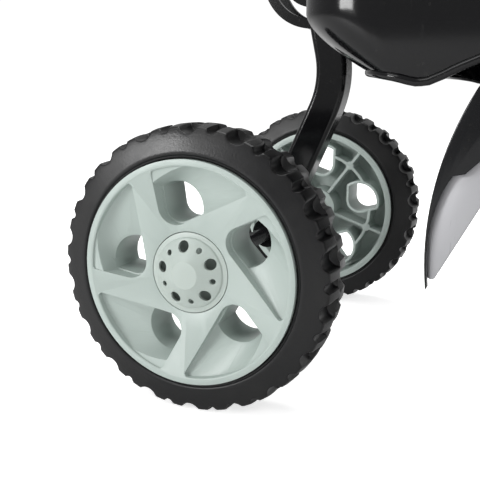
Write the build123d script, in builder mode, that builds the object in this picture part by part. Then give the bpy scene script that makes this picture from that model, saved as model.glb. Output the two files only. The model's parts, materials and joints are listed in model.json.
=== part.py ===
"""Lower unit of a walk-behind electric garden tiller, with its pair of transport wheels.

Frame: X forward (wheels behind, tines ahead), Y to the machine's left, Z up, millimetres.
The origin is the centre of the motor flange's upper face; the worm shaft runs down the Z axis.
Two wheels turn on an axle under a bent box tube that flips up about a pivot in a yoke behind
the tine guard.  Under the guard a worm gearbox drives the tine shaft.
"""
from build123d import *
import os
from math import cos, sin, tan, radians, pi

os.makedirs("parts", exist_ok=True)

# ---------------------------------------------------------------- driving dimensions (mm)
running = 0.05                   # radial clearance of a running fit
side_gap = 0.4                   # axial gap between pieces that turn on each other

axle_x = -236.0                  # axle, from the worm axis
axle_z = -240.0                  # axle, below the flange face
track = 298.0                    # wheel centre to wheel centre
axle_radius = 6.0

tyre_radius = 100.0              # over the crown of the tread
tread_width = 39.0
rim_lip_radius = 77.5
rim_width = 50.2
rim_seat_radius = 74.0           # under the tyre
rim_seat_width = 40.0
lug_count = 18                   # big scallops on each shoulder
big_scallop_radius = 7.0
small_groove_radius = 3.0
scallop_depth = 4.2
spoke_count = 5
near_wheel_phase = -10.4         # degrees, pocket pattern of the right wheel
far_wheel_phase = -16.9

bore_radius = 8.0                # hub bore that takes the bushes
hub_boss_radius = 19.0
cap_seat_radius = 28.5
cap_gap = 0.15
web_back = 6.0                   # back of the spokes, from the wheel's mid-plane
rib_back = -20.0                 # back of the ribs
rib_thickness = 2.6
dish_depth = 7.0                 # how far the spokes dish in at the hub

tube_size = 25.0                 # square box tube of the wheel bracket
tube_wall = 2.0
tube_corner = 4.0
bend_radius = 75.0
lower_leg_angle = 66.0           # of the tube's lower leg, from the horizontal
upper_leg_angle = 102.0
bend_x = 54.2                    # where the two legs' centre lines meet, from the axle
bend_z = 126.2
pivot_height = 210.0             # pivot above the axle
head_beyond_pivot = 16.0
axle_sleeve_half = 20.0
axle_sleeve_radius = 12.5

pivot_radius = 5.0               # pivot bolt
pivot_sleeve_radius = 8.0
clamp_arm = 30.0                 # clamp bolt, from the pivot
clamp_radius = 4.0               # clamp bolt
flip_angle = 95.0
yoke_gap = 0.8                   # tube to yoke cheek, each side
yoke_plate = 4.0
quadrant_radius = 42.0

rotor_radius = 138.0             # tine tips
rotor_z = -160.0                 # tine shaft, below the flange face
tine_shaft_radius = 10.0
tine_shaft_half = 197.0
outer_tine_y = 180.0
inner_tine_y = 66.0
arm_thickness = 5.0
paddle_thickness = 2.5
blades_per_hub = 3
hub_wall = 4.0
tine_phases = {"right_outer": 0.0, "right_inner": 60.0, "left_inner": 45.0, "left_outer": 30.0}

gear_module = 2.0
wheel_teeth = 32
worm_pitch_radius = 10.0
tooth_thickness = 2.0            # thinned flanks on worm and wheel, at the pitch line
gear_width = 10.0

guard_wall = 3.0
guard_width = 410.0
guard_rear = -156.0              # outermost rear wall, from the worm axis
guard_front = 170.0
deck_top = -8.0                  # guard's upper face; the motor flange stands on it
guard_lip_z = -117.5             # lowest edge of the guard
flange_radius = 62.0
motor_pcd = 104.0
motor_hole_radius = 3.3
pilot_radius = 25.0
handle_hole_radius = 4.2
handle_x = -84.0                 # middle of the handle's bolt pattern
handle_spacing_x = 40.0
handle_spacing_y = 160.0

# ---------------------------------------------------------------- worked-out places
lip_z = rim_width / 2
hub_face_z = lip_z - dish_depth
cap_floor_z = hub_face_z - 5.0
rim_scale = rim_lip_radius / 77.5
ring_inner = rim_lip_radius - 6.3
hub_back_z = -lip_z + 1.5
wheel_y = track / 2

pivot_x = axle_x + bend_x + (pivot_height - bend_z) / tan(radians(upper_leg_angle))
pivot_z = axle_z + pivot_height
upper_dir = (cos(radians(upper_leg_angle)), sin(radians(upper_leg_angle)))
lower_dir = (cos(radians(lower_leg_angle)), sin(radians(lower_leg_angle)))
clamp_x = pivot_x - clamp_arm * upper_dir[0]
clamp_z = pivot_z - clamp_arm * upper_dir[1]
head_x = pivot_x + head_beyond_pivot * upper_dir[0]
head_z = pivot_z + head_beyond_pivot * upper_dir[1]
corner = (axle_x + bend_x, axle_z + bend_z)
leg_length = bend_z / lower_dir[1]
foot = (corner[0] - leg_length * lower_dir[0], axle_z)
cheek_inner = tube_size / 2 + yoke_gap
cheek_outer = cheek_inner + yoke_plate
rotor_x = worm_pitch_radius + gear_module * wheel_teeth / 2

wheel_planes = {
    "right": Plane((axle_x, -wheel_y, axle_z), x_dir=(1, 0, 0), z_dir=(0, -1, 0)),
    "left": Plane((axle_x, wheel_y, axle_z), x_dir=(-1, 0, 0), z_dir=(0, 1, 0)),
}
wheel_phases = {"right": near_wheel_phase, "left": far_wheel_phase}


def save(shape, name):
    """Label a finished piece and write it."""
    shape.label = name
    export_step(shape, f"parts/{name}.step")


def side_plane(x, z, y=0.0):
    """A plane facing right (-Y) through (x, y, z); its sketches read X across and Z up."""
    return Plane((x, y, z), x_dir=(1, 0, 0), z_dir=(0, -1, 0))


def polar(angle, radius):
    """A point on a wheel face."""
    return (radius * cos(radians(angle)), radius * sin(radians(angle)))


# ---------------------------------------------------------------- wheel rim
# Each pocket is a quarter-leaf: an outer arc, a steep edge and a long edge that meet in a round
# end.  Its floor scoops down to a through hole, which is the pocket's own outline cut by a circle.
pocket_arc = 73.0 * rim_scale
pocket_start = -10.5
pocket_span = 59.0
pocket_tip = polar(pocket_start, pocket_arc)
pocket_shoulder = polar(pocket_start + pocket_span, pocket_arc)
pocket_round = 2.5
pocket_end = (14.15 * rim_scale, 29.6 * rim_scale)
pocket_end_radius = 12.0 * rim_scale
hole_centre = (33.0 * rim_scale, 30.0 * rim_scale)
hole_radius = 18.2 * rim_scale
hole_rim_z = 11.0                # where the scoop ends and the straight hole starts
scoop_top_z = lip_z - 1.9
scoop_centre = (46.0 * rim_scale, 14.0 * rim_scale)
scoop_long = 46.0 * rim_scale
scoop_short = 27.5 * rim_scale
scoop_turn = -48.0
hole_inset = 1.0
tube_rib = 2.4                   # wall round each through hole, behind the spokes
round_rib_radius = 56.0 * rim_scale
ejector_boss_radius = 4.0

with BuildSketch() as pocket:
    with BuildLine():
        CenterArc((0, 0), pocket_arc, pocket_start, pocket_span)
        Polyline(pocket_shoulder, pocket_end, pocket_tip)
    make_face()
    fillet(pocket.vertices().sort_by(Axis.X)[0], pocket_end_radius)
    fillet(pocket.vertices().sort_by_distance((0, 0))[-2:], pocket_round)

with BuildSketch() as hole:
    add(offset(pocket.sketch, -hole_inset, mode=Mode.PRIVATE))
    with Locations(hole_centre):
        Circle(hole_radius, mode=Mode.INTERSECT)

with BuildPart() as pocket_cutter:
    with BuildSketch(Plane.XY.offset(hole_rim_z)):
        with Locations(hole_centre):
            Circle(hole_radius)
    with BuildSketch(Plane.XY.offset(scoop_top_z)):
        with Locations(scoop_centre):
            Ellipse(scoop_long, scoop_short, rotation=scoop_turn)
    loft()
    with BuildSketch(Plane.XY.offset(-lip_z)):
        add(pocket.sketch)
    extrude(amount=2 * rim_width, mode=Mode.INTERSECT)
    with BuildSketch(Plane.XY.offset(scoop_top_z)):
        add(pocket.sketch)
    extrude(amount=dish_depth)
    with BuildSketch(Plane.XY.offset(-lip_z - 1)):
        add(hole.sketch)
    extrude(amount=lip_z + 1 + hole_rim_z)

with BuildPart() as rim:
    with BuildSketch(Plane.XZ):
        with BuildLine():
            Polyline(
                (bore_radius, hub_back_z),
                (hub_boss_radius, hub_back_z),
                (hub_boss_radius, web_back),
                (ring_inner, web_back),
                (ring_inner + 0.8, -lip_z),
                (rim_lip_radius, -lip_z),
                (rim_lip_radius, -rim_seat_width / 2),
                (rim_seat_radius, -rim_seat_width / 2),
                (rim_seat_radius, rim_seat_width / 2),
                (rim_lip_radius, rim_seat_width / 2),
                (rim_lip_radius, lip_z),
                (ring_inner + 2.6, lip_z),
                (ring_inner + 1.8, lip_z - 0.5),
                (cap_seat_radius, hub_face_z),
                (cap_seat_radius, cap_floor_z),
                (bore_radius, cap_floor_z),
                close=True,
            )
        make_face()
    revolve(axis=Axis.Z)
    with BuildSketch(Plane.XY.offset(rib_back)):
        Circle(round_rib_radius)
        Circle(round_rib_radius - rib_thickness, mode=Mode.SUBTRACT)
        for index in range(spoke_count):
            middle = 36.0 + (index + 0.5) * 360 / spoke_count
            with Locations(Location(polar(middle, (hub_boss_radius + ring_inner) / 2), middle)):
                Rectangle(ring_inner - hub_boss_radius + 2, rib_thickness)
            with Locations(polar(middle, round_rib_radius - 1)):
                Circle(ejector_boss_radius)
    extrude(amount=web_back - rib_back)
    with BuildSketch(Plane.XY.offset(rib_back)):
        with PolarLocations(0, spoke_count):
            add(offset(hole.sketch, tube_rib, mode=Mode.PRIVATE))
    extrude(amount=web_back - rib_back)
    with PolarLocations(0, spoke_count):
        add(pocket_cutter.part, mode=Mode.SUBTRACT)

# ---------------------------------------------------------------- tyre
shoulder_radius = tyre_radius - 1.8
tread_half = tread_width / 2
scallop_centre = shoulder_radius - scallop_depth + big_scallop_radius
groove_centre = shoulder_radius - scallop_depth + 1.0 + small_groove_radius

with BuildPart() as tyre:
    with BuildSketch(Plane.XZ):
        with BuildLine():
            Polyline(
                (shoulder_radius, -tread_half + 0.5),
                (shoulder_radius - 1.5, -tread_half - 0.4),
                (rim_lip_radius + 0.5, -lip_z + 1.3),
                (rim_lip_radius + 0.5, -rim_seat_width / 2 + 0.2),
                (rim_seat_radius, -rim_seat_width / 2 + 0.2),
                (rim_seat_radius, rim_seat_width / 2 - 0.2),
                (rim_lip_radius + 0.5, rim_seat_width / 2 - 0.2),
                (rim_lip_radius + 0.5, lip_z - 1.3),
                (shoulder_radius - 1.5, tread_half + 0.4),
                (shoulder_radius, tread_half - 0.5),
            )
            ThreePointArc(
                (shoulder_radius, tread_half - 0.5),
                (tyre_radius, 0),
                (shoulder_radius, -tread_half + 0.5),
            )
        make_face()
    revolve(axis=Axis.Z)
    lug_pitch = 360 / lug_count
    for face, turn in ((1, 0.0), (-1, lug_pitch / 2)):
        with Locations((0, 0, face * (tread_half + 2) / 2)):
            with PolarLocations(scallop_centre, lug_count, start_angle=turn):
                Cylinder(big_scallop_radius, tread_half + 1, mode=Mode.SUBTRACT)
            with PolarLocations(groove_centre, lug_count, start_angle=turn + lug_pitch / 2):
                Cylinder(small_groove_radius, tread_half + 1, mode=Mode.SUBTRACT)

# ---------------------------------------------------------------- hub cap
cap_hole_ring = 19.3
cap_hole_radius = 4.0
cap_small_hole_radius = 2.0
cap_wall = 2.2
cap_top = lip_z + 2.0
cap_disc = 9.6

with BuildPart() as hub_cap:
    with BuildSketch(Plane.XZ):
        with BuildLine():
            Polyline(
                (0, cap_top),
                (cap_disc, cap_top),
                (cap_disc + 1.2, cap_top - 0.7),
                (cap_seat_radius - 4.0, hub_face_z + 1.2),
                (cap_seat_radius - 3.4, hub_face_z),
                (cap_seat_radius - cap_gap, hub_face_z),
                (cap_seat_radius - cap_gap, cap_floor_z),
                (cap_seat_radius - cap_gap - 3.0, cap_floor_z),
                (cap_seat_radius - 5.5, hub_face_z - cap_wall + 1.2),
                (cap_disc, cap_top - cap_wall),
                (0, cap_top - cap_wall),
                close=True,
            )
        make_face()
    revolve(axis=Axis.Z)
    with PolarLocations(cap_hole_ring, spoke_count, start_angle=36.0):
        Cylinder(cap_hole_radius, 2 * rim_width, mode=Mode.SUBTRACT)
    with PolarLocations(cap_hole_ring, spoke_count, start_angle=72.0):
        Cylinder(cap_small_hole_radius, 2 * rim_width, mode=Mode.SUBTRACT)

# ---------------------------------------------------------------- bushes, washers, push nut
bush_bore = axle_radius + running
bush_flange = 1.5
bush_barrel = 12.0
push_nut_height = 4.4
push_nut_depth = 3.4             # how far the axle's end goes into it


def flanged_bush(barrel):
    """A bush that stands on z = 0 with its flange above and its barrel below."""
    with BuildPart() as bush:
        with BuildSketch():
            Circle(bore_radius + 3)
        extrude(amount=bush_flange)
        with BuildSketch():
            Circle(bore_radius)
        extrude(amount=-barrel)
        Cylinder(bush_bore, 4 * barrel, mode=Mode.SUBTRACT)
    return bush.part


def ring(outer, inner, height):
    """A plain ring that stands on z = 0."""
    with BuildPart() as piece:
        with BuildSketch():
            Circle(outer)
            Circle(inner, mode=Mode.SUBTRACT)
        extrude(amount=height)
    return piece.part


washer_height = 1.6
outer_washer_z = cap_floor_z + bush_flange + side_gap
inner_washer_z = -lip_z - side_gap - washer_height
with BuildPart() as push_nut:
    with BuildSketch():
        Circle(axle_radius + 3)
    extrude(amount=1.0)
    with BuildSketch():
        Circle(axle_radius + 2)
    extrude(amount=push_nut_height)
    with BuildSketch():
        Circle(axle_radius)
    extrude(amount=push_nut_depth, mode=Mode.SUBTRACT)

for side, plane in wheel_planes.items():
    spot = plane.location
    turned = plane.location * Rot(0, 0, wheel_phases[side])
    save(turned * rim.part, f"{side}_rim")
    save(turned * tyre.part, f"{side}_tyre")
    save(turned * hub_cap.part, f"{side}_hub_cap")
    save(spot * Pos(0, 0, cap_floor_z) * flanged_bush(bush_barrel), f"{side}_outer_bush")
    save(spot * Pos(0, 0, hub_back_z) * Rot(180, 0, 0) * flanged_bush(bush_barrel), f"{side}_inner_bush")

axle_washer = ring(axle_radius + 3.5, axle_radius, washer_height)
save(
    Compound(children=[
        plane.location * Pos(0, 0, height) * axle_washer
        for plane in wheel_planes.values() for height in (outer_washer_z, inner_washer_z)
    ]),
    "axle_washers",
)
save(
    Compound(children=[
        plane.location * Pos(0, 0, outer_washer_z + washer_height) * push_nut.part
        for plane in wheel_planes.values()
    ]),
    "push_nuts",
)

# ---------------------------------------------------------------- axle and its sleeve
collar_width = 3.0
axle_end = wheel_y + outer_washer_z + washer_height + push_nut_depth
collar_y = wheel_y + inner_washer_z - collar_width
with BuildPart() as axle:
    with BuildSketch(side_plane(axle_x, axle_z)):
        Circle(axle_radius)
    extrude(amount=axle_end, both=True)
    for face in (-1, 1):
        with BuildSketch(side_plane(axle_x, axle_z, face * (collar_y + collar_width / 2))):
            Circle(axle_radius + 3)
        extrude(amount=collar_width / 2, both=True)
save(axle.part, "axle")

with BuildPart() as axle_sleeve:
    with BuildSketch(side_plane(axle_x, axle_z)):
        Circle(axle_sleeve_radius)
        Circle(axle_radius, mode=Mode.SUBTRACT)
    extrude(amount=axle_sleeve_half, both=True)
save(axle_sleeve.part, "axle_sleeve")

# ---------------------------------------------------------------- bent bracket tube
with BuildPart() as bracket_tube:
    with BuildLine(side_plane(0, 0)) as route:
        FilletPolyline(foot, corner, (head_x, head_z), radius=bend_radius)
    foot_plane = Plane(route.line @ 0, x_dir=(0, 1, 0), z_dir=route.line % 0)
    with BuildSketch(foot_plane):
        RectangleRounded(tube_size, tube_size, tube_corner)
    sweep(path=route.line)
    with BuildSketch(foot_plane):
        RectangleRounded(tube_size - 2 * tube_wall, tube_size - 2 * tube_wall, tube_corner - tube_wall)
    sweep(path=route.line, mode=Mode.SUBTRACT)
    with BuildSketch(side_plane(axle_x, axle_z)):
        Circle(axle_sleeve_radius)
    extrude(amount=tube_size, both=True, mode=Mode.SUBTRACT)
    with BuildSketch(side_plane(pivot_x, pivot_z)):
        Circle(pivot_sleeve_radius)
    extrude(amount=tube_size, both=True, mode=Mode.SUBTRACT)
    with BuildSketch(side_plane(clamp_x, clamp_z)):
        Circle(clamp_radius)
    extrude(amount=tube_size, both=True, mode=Mode.SUBTRACT)
foot_cut = Plane((foot[0], 0, axle_z), z_dir=(lower_dir[0], 0, lower_dir[1]))
save(bracket_tube.part.split(foot_cut), "bracket_tube")

with BuildPart() as pivot_sleeve:
    with BuildSketch(side_plane(pivot_x, pivot_z)):
        Circle(pivot_sleeve_radius)
        Circle(pivot_radius + running, mode=Mode.SUBTRACT)
    extrude(amount=tube_size / 2, both=True)
save(pivot_sleeve.part, "pivot_sleeve")

cap_plane = Plane((head_x, 0, head_z), x_dir=(0, 1, 0), z_dir=(upper_dir[0], 0, upper_dir[1]))
with BuildPart() as tube_cap:
    with BuildSketch(cap_plane):
        RectangleRounded(tube_size, tube_size, tube_corner)
    extrude(amount=2.0)
    with BuildSketch(cap_plane):
        inner_size = tube_size - 2 * tube_wall
        RectangleRounded(inner_size, inner_size, tube_corner - tube_wall)
    extrude(amount=-5.0)
    crown = tube_cap.faces().sort_by(Axis((0, 0, 0), (upper_dir[0], 0, upper_dir[1])))[-1]
    fillet(crown.edges(), 0.8)
save(tube_cap.part, "tube_cap")

# ---------------------------------------------------------------- yoke, pivot bolt, clamp
yoke_base_thickness = 4.0
yoke_base_width = 84.0
yoke_base_low = pivot_z - quadrant_radius
yoke_base_high = pivot_z - 2.0
cheek_rise = 14.0                # top of the cheeks, above the pivot
slot_gap = 0.3
yoke_hole_y = 31.0
yoke_hole_z = (yoke_base_low + 9.0, yoke_base_high - 9.0)
yoke_bolt_radius = 3.0
yoke_head_radius = 5.8
base_front = guard_rear
base_back = guard_rear - yoke_base_thickness
slot_start = upper_leg_angle + 180.0


def arc_slot(radius, half_width, start, sweep_angle):
    """A curved slot with round ends, centred on the sketch's origin."""
    finish = start + sweep_angle
    with BuildSketch() as slot:
        with BuildLine():
            CenterArc((0, 0), radius + half_width, start, sweep_angle)
            CenterArc((0, 0), radius - half_width, start, sweep_angle)
            CenterArc(polar(start, radius), half_width, start + 180, 180)
            CenterArc(polar(finish, radius), half_width, finish, 180)
        make_face()
    return slot.sketch


with BuildPart() as yoke:
    for face in (-1, 1):
        with BuildSketch(side_plane(pivot_x, pivot_z, face * (cheek_inner + cheek_outer) / 2)):
            Circle(quadrant_radius)
            with Locations(((base_front - pivot_x) / 2, (yoke_base_high + yoke_base_low) / 2 - pivot_z)):
                Rectangle(base_front - pivot_x, yoke_base_high - yoke_base_low)
            with Locations((0, quadrant_radius + cheek_rise)):
                Rectangle(4 * quadrant_radius, 2 * quadrant_radius, mode=Mode.SUBTRACT)
            Circle(pivot_radius, mode=Mode.SUBTRACT)
            add(arc_slot(clamp_arm, clamp_radius + slot_gap, slot_start - flip_angle, flip_angle),
                mode=Mode.SUBTRACT)
        extrude(amount=yoke_plate / 2, both=True)
    with BuildSketch(Plane.XY.offset(yoke_base_low)):
        with Locations(((base_front + base_back) / 2, 0)):
            Rectangle(yoke_base_thickness, yoke_base_width)
    extrude(amount=yoke_base_high - yoke_base_low)
    for face in (-1, 1):
        for height in yoke_hole_z:
            with BuildSketch(Plane((base_front, face * yoke_hole_y, height), z_dir=(-1, 0, 0))):
                Circle(yoke_bolt_radius)
            extrude(amount=2 * yoke_base_thickness, both=True, mode=Mode.SUBTRACT)
save(yoke.part, "yoke")


def bolt(plane, radius, grip, head_radius, head_height, sides=6, thread=0.0):
    """A bolt whose head stands on the plane and whose shank runs back from it."""
    with BuildPart() as piece:
        with BuildSketch(plane):
            if sides:
                RegularPolygon(head_radius, sides)
            else:
                Circle(head_radius)
        extrude(amount=head_height)
        with BuildSketch(plane):
            Circle(radius)
        extrude(amount=-(grip + thread))
    return piece.part


def nut(plane, radius, across, height):
    """A hexagon nut that stands on the plane."""
    with BuildPart() as piece:
        with BuildSketch(plane):
            RegularPolygon(across, 6)
            Circle(radius, mode=Mode.SUBTRACT)
        extrude(amount=height)
    return piece.part


pivot_head_radius = 9.2
pivot_grip = 2 * cheek_outer
pivot_head_plane = Plane((pivot_x, -cheek_outer, pivot_z), x_dir=(1, 0, 0), z_dir=(0, -1, 0))
pivot_nut_plane = Plane((pivot_x, cheek_outer, pivot_z), x_dir=(1, 0, 0), z_dir=(0, 1, 0))
save(bolt(pivot_head_plane, pivot_radius, pivot_grip, pivot_head_radius, 6.4, thread=9.0), "pivot_bolt")
save(nut(pivot_nut_plane, pivot_radius, pivot_head_radius, 8.0), "pivot_nut")

clamp_head_plane = Plane((clamp_x, -cheek_outer - side_gap, clamp_z), x_dir=(1, 0, 0), z_dir=(0, -1, 0))
clamp_knob_y = cheek_outer + side_gap + washer_height
knob_gap = 0.3
knob_height = 16.0
knob_top = 3.0                   # closed top of the knob, above the insert
clamp_head_radius = 9.0
clamp_shank = 2 * (cheek_outer + side_gap) + washer_height + knob_gap + knob_height - knob_top - 1
save(bolt(clamp_head_plane, clamp_radius, clamp_shank, clamp_head_radius, 4.0, sides=0), "clamp_bolt")
clamp_washer_plane = Plane((clamp_x, cheek_outer + side_gap, clamp_z), x_dir=(1, 0, 0), z_dir=(0, 1, 0))
save(clamp_washer_plane.location * ring(clamp_head_radius, clamp_radius, washer_height), "clamp_washer")

knob_plane = Plane((clamp_x, clamp_knob_y + knob_gap, clamp_z), x_dir=(1, 0, 0), z_dir=(0, 1, 0))
knob_radius = 17.0
knob_lobes = 5
knob_scallop_radius = 6.0
insert_radius = 6.5
with BuildPart() as clamp_knob:
    with BuildSketch(knob_plane):
        Circle(knob_radius)
        with PolarLocations(knob_radius + 2.5, knob_lobes):
            Circle(knob_scallop_radius, mode=Mode.SUBTRACT)
    extrude(amount=knob_height)
    fillet(clamp_knob.faces().sort_by(Axis.Y)[-1].edges(), 1.5)
    with BuildSketch(knob_plane):
        Circle(insert_radius)
    extrude(amount=knob_height - knob_top, mode=Mode.SUBTRACT)
save(clamp_knob.part, "clamp_knob")
save(knob_plane.location * ring(insert_radius, clamp_radius + running, knob_height - knob_top), "knob_insert")

save(
    Compound(children=[
        bolt(Plane((base_back, face * yoke_hole_y, height), z_dir=(-1, 0, 0)),
             yoke_bolt_radius, yoke_base_thickness + guard_wall, yoke_head_radius, 4.0, thread=7.0)
        for face in (-1, 1) for height in yoke_hole_z
    ]),
    "yoke_bolts",
)
save(
    Compound(children=[
        nut(Plane((guard_rear + guard_wall, face * yoke_hole_y, height), z_dir=(1, 0, 0)),
            yoke_bolt_radius, yoke_head_radius, 5.0)
        for face in (-1, 1) for height in yoke_hole_z
    ]),
    "yoke_nuts",
)

# ---------------------------------------------------------------- tine guard
lip_x = -95.0                    # lowest rear edge of the guard
belly_x = -141.0                 # where the rear underside turns up
belly_z = -98.0
waist_z = -80.0                  # where the rear wall becomes upright
shoulder_z = -30.0
deck_rear_x = -144.0
deck_front_x = 84.0
front_low_z = -70.0
arch_side_rise = 46.0            # how far the cheeks' lower edges arch over the shaft
guard_side = guard_width / 2


def guard_profile(inset, floor_z):
    """Side outline of the guard, drawn inset from its outer face, in X and Z."""
    return [
        (lip_x, floor_z),
        (belly_x + inset, belly_z + 0.3 * inset if inset else belly_z),
        (guard_rear + inset, waist_z),
        (guard_rear + inset, shoulder_z - 0.4 * inset),
        (deck_rear_x + 0.4 * inset, deck_top - inset),
        (deck_front_x - 0.3 * inset, deck_top - inset),
        (guard_front - inset, front_low_z),
        (guard_front - inset, floor_z),
    ]


def guard_block(inset, floor_z):
    """A solid guard-shaped block, rounded at its upright corners."""
    with BuildPart() as block:
        with BuildSketch(side_plane(0, 0)) as outline:
            with BuildLine():
                Polyline(*guard_profile(inset, floor_z), close=True)
            make_face()
            fillet([v for v in outline.vertices() if v.Y > deck_top - inset - 1], 16.0 - inset)
        extrude(amount=guard_side - inset, both=True)
        with BuildSketch(Plane.XY.offset(floor_z - 10)) as plan:
            middle = (guard_rear + guard_front) / 2
            with Locations((middle, 0)):
                Rectangle(guard_front - guard_rear - 2 * inset, guard_width - 2 * inset)
            fillet(plan.vertices().group_by(Axis.X)[0], 42.0 - inset)
            fillet(plan.vertices().group_by(Axis.X)[-1], 30.0 - inset)
        extrude(amount=400, mode=Mode.INTERSECT)
    return block.part


with BuildPart() as guard_shell:
    add(guard_block(0.0, guard_lip_z))
    add(guard_block(guard_wall, guard_lip_z - 40), mode=Mode.SUBTRACT)
    with BuildSketch(side_plane(0, 0)):
        with BuildLine():
            Polyline(
                (lip_x + 12, guard_lip_z - 60),
                (lip_x + 12, guard_lip_z),
                (lip_x + 40, guard_lip_z + 12),
            )
            ThreePointArc(
                (lip_x + 40, guard_lip_z + 12),
                (rotor_x, guard_lip_z + arch_side_rise),
                (guard_front + 5, front_low_z),
            )
            Polyline(
                (guard_front + 5, front_low_z),
                (guard_front + 5, guard_lip_z - 60),
                (lip_x + 12, guard_lip_z - 60),
            )
        make_face()
    extrude(amount=guard_width, both=True, mode=Mode.SUBTRACT)
# ---------------------------------------------------------------- gearbox
case_half = 33.0
case_radius = 49.0
gear_room = gear_module * (wheel_teeth / 2 + 1) + 3.0
gear_room_half = 13.0
bearing_radius = 21.0
bearing_width = 12.0
seal_radius = 17.0
neck_half = 22.0
worm_bearing_radius = 14.0
worm_bearing_width = 8.0
worm_foot = rotor_z - 36.0
worm_shaft_radius = 6.0
shaft_top = 12.0                 # top of the drive stub, above the flange face
stub_radius = 5.0
flange_thickness = -deck_top
deck_under = deck_top - guard_wall
case_flange_thickness = 8.0
case_flange_radius = 48.0
case_flange_low = deck_under - case_flange_thickness
flange_bolt_pcd = 80.0
flange_bolt_radius = 3.0
case_screw_radius = 2.5
case_screw_ring = gear_room + 5.5
case_screw_angles = (-95.0, -45.0, 5.0, 55.0)
neck_screw_x = 18.0
neck_screw_z = -70.0
upper_bearing_z = -60.0

case_screws = [
    (rotor_x + polar(angle, case_screw_ring)[0], rotor_z + polar(angle, case_screw_ring)[1])
    for angle in case_screw_angles
]
case_screws += [
    (-neck_screw_x, rotor_z - 24.0),
    (-neck_screw_x, neck_screw_z),
    (neck_screw_x, neck_screw_z),
]

with BuildPart() as gear_case:
    with BuildSketch(side_plane(rotor_x, rotor_z)):
        Circle(case_radius)
    extrude(amount=case_half, both=True)
    with BuildSketch(Plane.XY.offset(worm_foot - 6)):
        Rectangle(2 * neck_half, 2 * neck_half)
    extrude(amount=case_flange_low - worm_foot + 6)
    with BuildSketch(Plane.XY.offset(case_flange_low)):
        Circle(case_flange_radius)
    extrude(amount=case_flange_thickness)
    with BuildSketch(side_plane(rotor_x, rotor_z)):
        Circle(gear_room)
    extrude(amount=gear_room_half, both=True, mode=Mode.SUBTRACT)
    with BuildSketch(side_plane(rotor_x, rotor_z)):
        Circle(bearing_radius)
    extrude(amount=gear_room_half + bearing_width, both=True, mode=Mode.SUBTRACT)
    with BuildSketch(side_plane(rotor_x, rotor_z)):
        Circle(seal_radius)
    extrude(amount=case_half, both=True, mode=Mode.SUBTRACT)
    with BuildSketch(Plane.XY.offset(worm_foot)):
        Circle(worm_bearing_radius)
    extrude(amount=deck_under - worm_foot, mode=Mode.SUBTRACT)
    for screw_x, screw_z in case_screws:
        with BuildSketch(side_plane(screw_x, screw_z)):
            Circle(case_screw_radius)
        extrude(amount=case_half, both=True, mode=Mode.SUBTRACT)
    with BuildSketch(Plane.XY.offset(case_flange_low)):
        with PolarLocations(flange_bolt_pcd / 2, 4, start_angle=45):
            Circle(flange_bolt_radius)
    extrude(amount=case_flange_thickness, mode=Mode.SUBTRACT)

save(gear_case.part.split(Plane.XZ, keep=Keep.TOP), "gearbox_right_half")
save(gear_case.part.split(Plane.XZ, keep=Keep.BOTTOM), "gearbox_left_half")

save(
    Compound(children=[
        bolt(side_plane(x, z, -case_half if x > neck_half else -neck_half),
             case_screw_radius, 2 * (case_half if x > neck_half else neck_half), 4.4, 3.5)
        for x, z in case_screws
    ]),
    "gearbox_screws",
)


def bearing(outer, inner, width):
    """A shielded ball bearing that stands on z = 0, with recessed shields."""
    with BuildPart() as piece:
        with BuildSketch():
            Circle(outer)
            Circle(inner, mode=Mode.SUBTRACT)
        extrude(amount=width)
        for face, depth in ((0, 0.8), (width, -0.8)):
            with BuildSketch(Plane.XY.offset(face)):
                Circle(outer - 2.4)
                Circle(inner + 2.2, mode=Mode.SUBTRACT)
            extrude(amount=depth, mode=Mode.SUBTRACT)
    return piece.part


def across(y, facing):
    """The place on the tine shaft at y, with local z towards facing."""
    return Plane((rotor_x, y, rotor_z), x_dir=(1, 0, 0), z_dir=(0, facing, 0)).location


for side, facing in (("right", -1), ("left", 1)):
    save(
        across(facing * gear_room_half, facing)
        * bearing(bearing_radius, tine_shaft_radius + running, bearing_width),
        f"{side}_shaft_bearing",
    )
    save(
        across(facing * (gear_room_half + bearing_width), facing)
        * ring(seal_radius, tine_shaft_radius + running, case_half - gear_room_half - bearing_width),
        f"{side}_shaft_seal",
    )

worm_bearing = bearing(worm_bearing_radius, worm_shaft_radius + running, worm_bearing_width)
save(Pos(0, 0, worm_foot) * worm_bearing, "lower_worm_bearing")
save(Pos(0, 0, upper_bearing_z) * worm_bearing, "upper_worm_bearing")
save(
    Pos(0, 0, case_flange_low) * ring(worm_bearing_radius, worm_shaft_radius + running, 6.0),
    "worm_seal",
)

# ---------------------------------------------------------------- motor flange and its bolts
head_recess = 6.4
flange_head_radius = 5.2
with BuildPart() as motor_flange:
    with BuildSketch(Plane.XY.offset(deck_top)):
        Circle(flange_radius)
        Circle(pilot_radius, mode=Mode.SUBTRACT)
        with PolarLocations(motor_pcd / 2, 4):
            Circle(motor_hole_radius, mode=Mode.SUBTRACT)
        with PolarLocations(flange_bolt_pcd / 2, 4, start_angle=45):
            Circle(flange_bolt_radius, mode=Mode.SUBTRACT)
    extrude(amount=flange_thickness)
    with BuildSketch(Plane.XY.offset(-head_recess)):
        with PolarLocations(flange_bolt_pcd / 2, 4, start_angle=45):
            Circle(flange_head_radius + 0.4)
    extrude(amount=head_recess, mode=Mode.SUBTRACT)
save(motor_flange.part, "motor_flange")

save(
    Compound(children=[
        bolt(Plane((*polar(45 + 90 * k, flange_bolt_pcd / 2), -head_recess)),
             flange_bolt_radius, case_flange_thickness + guard_wall + flange_thickness - head_recess,
             flange_head_radius, 5.6, sides=0)
        for k in range(4)
    ]),
    "flange_bolts",
)

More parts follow.
